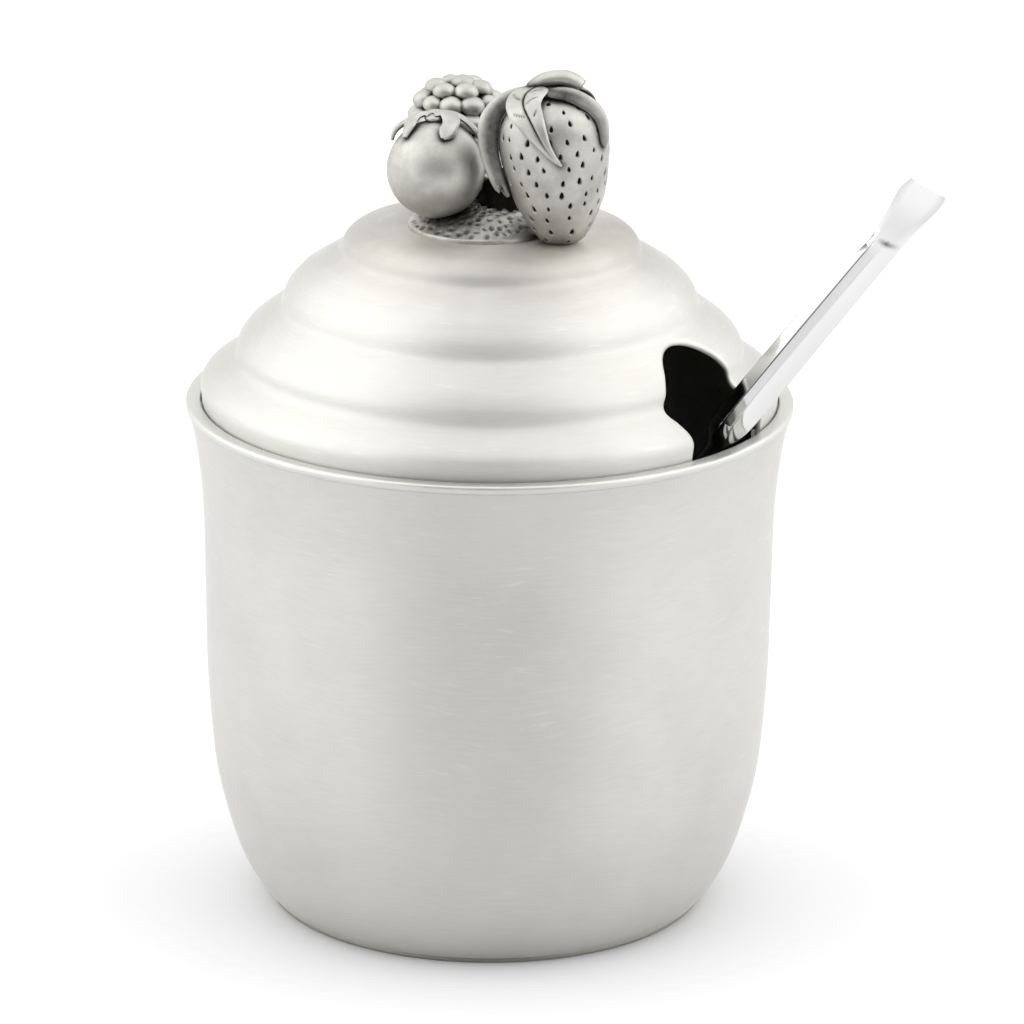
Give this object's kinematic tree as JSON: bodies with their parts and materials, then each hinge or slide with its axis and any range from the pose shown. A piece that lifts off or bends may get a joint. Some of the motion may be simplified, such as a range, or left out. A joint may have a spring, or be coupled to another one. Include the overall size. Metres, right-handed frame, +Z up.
{
  "type": "covered sugar bowl with spoon",
  "caption": "Round-bottomed covered bowl in satin pewter with a stepped lid, cast fruit knob and a spoon leaning out through a notch in the lid.",
  "frame": {"origin": "on the table plane, under the middle of the bowl's flat base", "axes": "+Z up along the bowl's axis; the lid's notch and the spoon point towards +X and slightly -Y; the fruit knob's strawberry is on the +X -Y side"},
  "size_m": [0.1087, 0.09, 0.1289],
  "materials": {
    "satin_pewter": "fine brushed satin pewter",
    "cast_pewter": "cast pewter, darkened in the recesses",
    "spoon_steel": "polished stainless steel"
  },
  "bodies": {
    "bowl": {"bowl_wall": "satin_pewter", "base_disc": "satin_pewter", "rim_ring": "satin_pewter"},
    "lid": {"lid_dome": "satin_pewter", "lid_flange": "satin_pewter", "finial_ground": "cast_pewter", "round_berry": "cast_pewter", "berry_sepals": "cast_pewter", "bramble": "cast_pewter", "strawberry": "cast_pewter", "strawberry_leaves": "cast_pewter", "strawberry_stem": "cast_pewter"},
    "spoon": {"spoon_handle": "spoon_steel", "spoon_bowl": "spoon_steel"}
  },
  "joints": [
    {"name": "lid_lift", "type": "slide", "parent": "bowl", "child": "lid", "axis": [0, 0, 1], "range_m": [0, 0.06]},
    {"name": "spoon_draw", "type": "slide", "parent": "bowl", "child": "spoon", "axis": [0.5111, -0.3319, 0.7928], "range_m": [0, 0.04]}
  ]
}
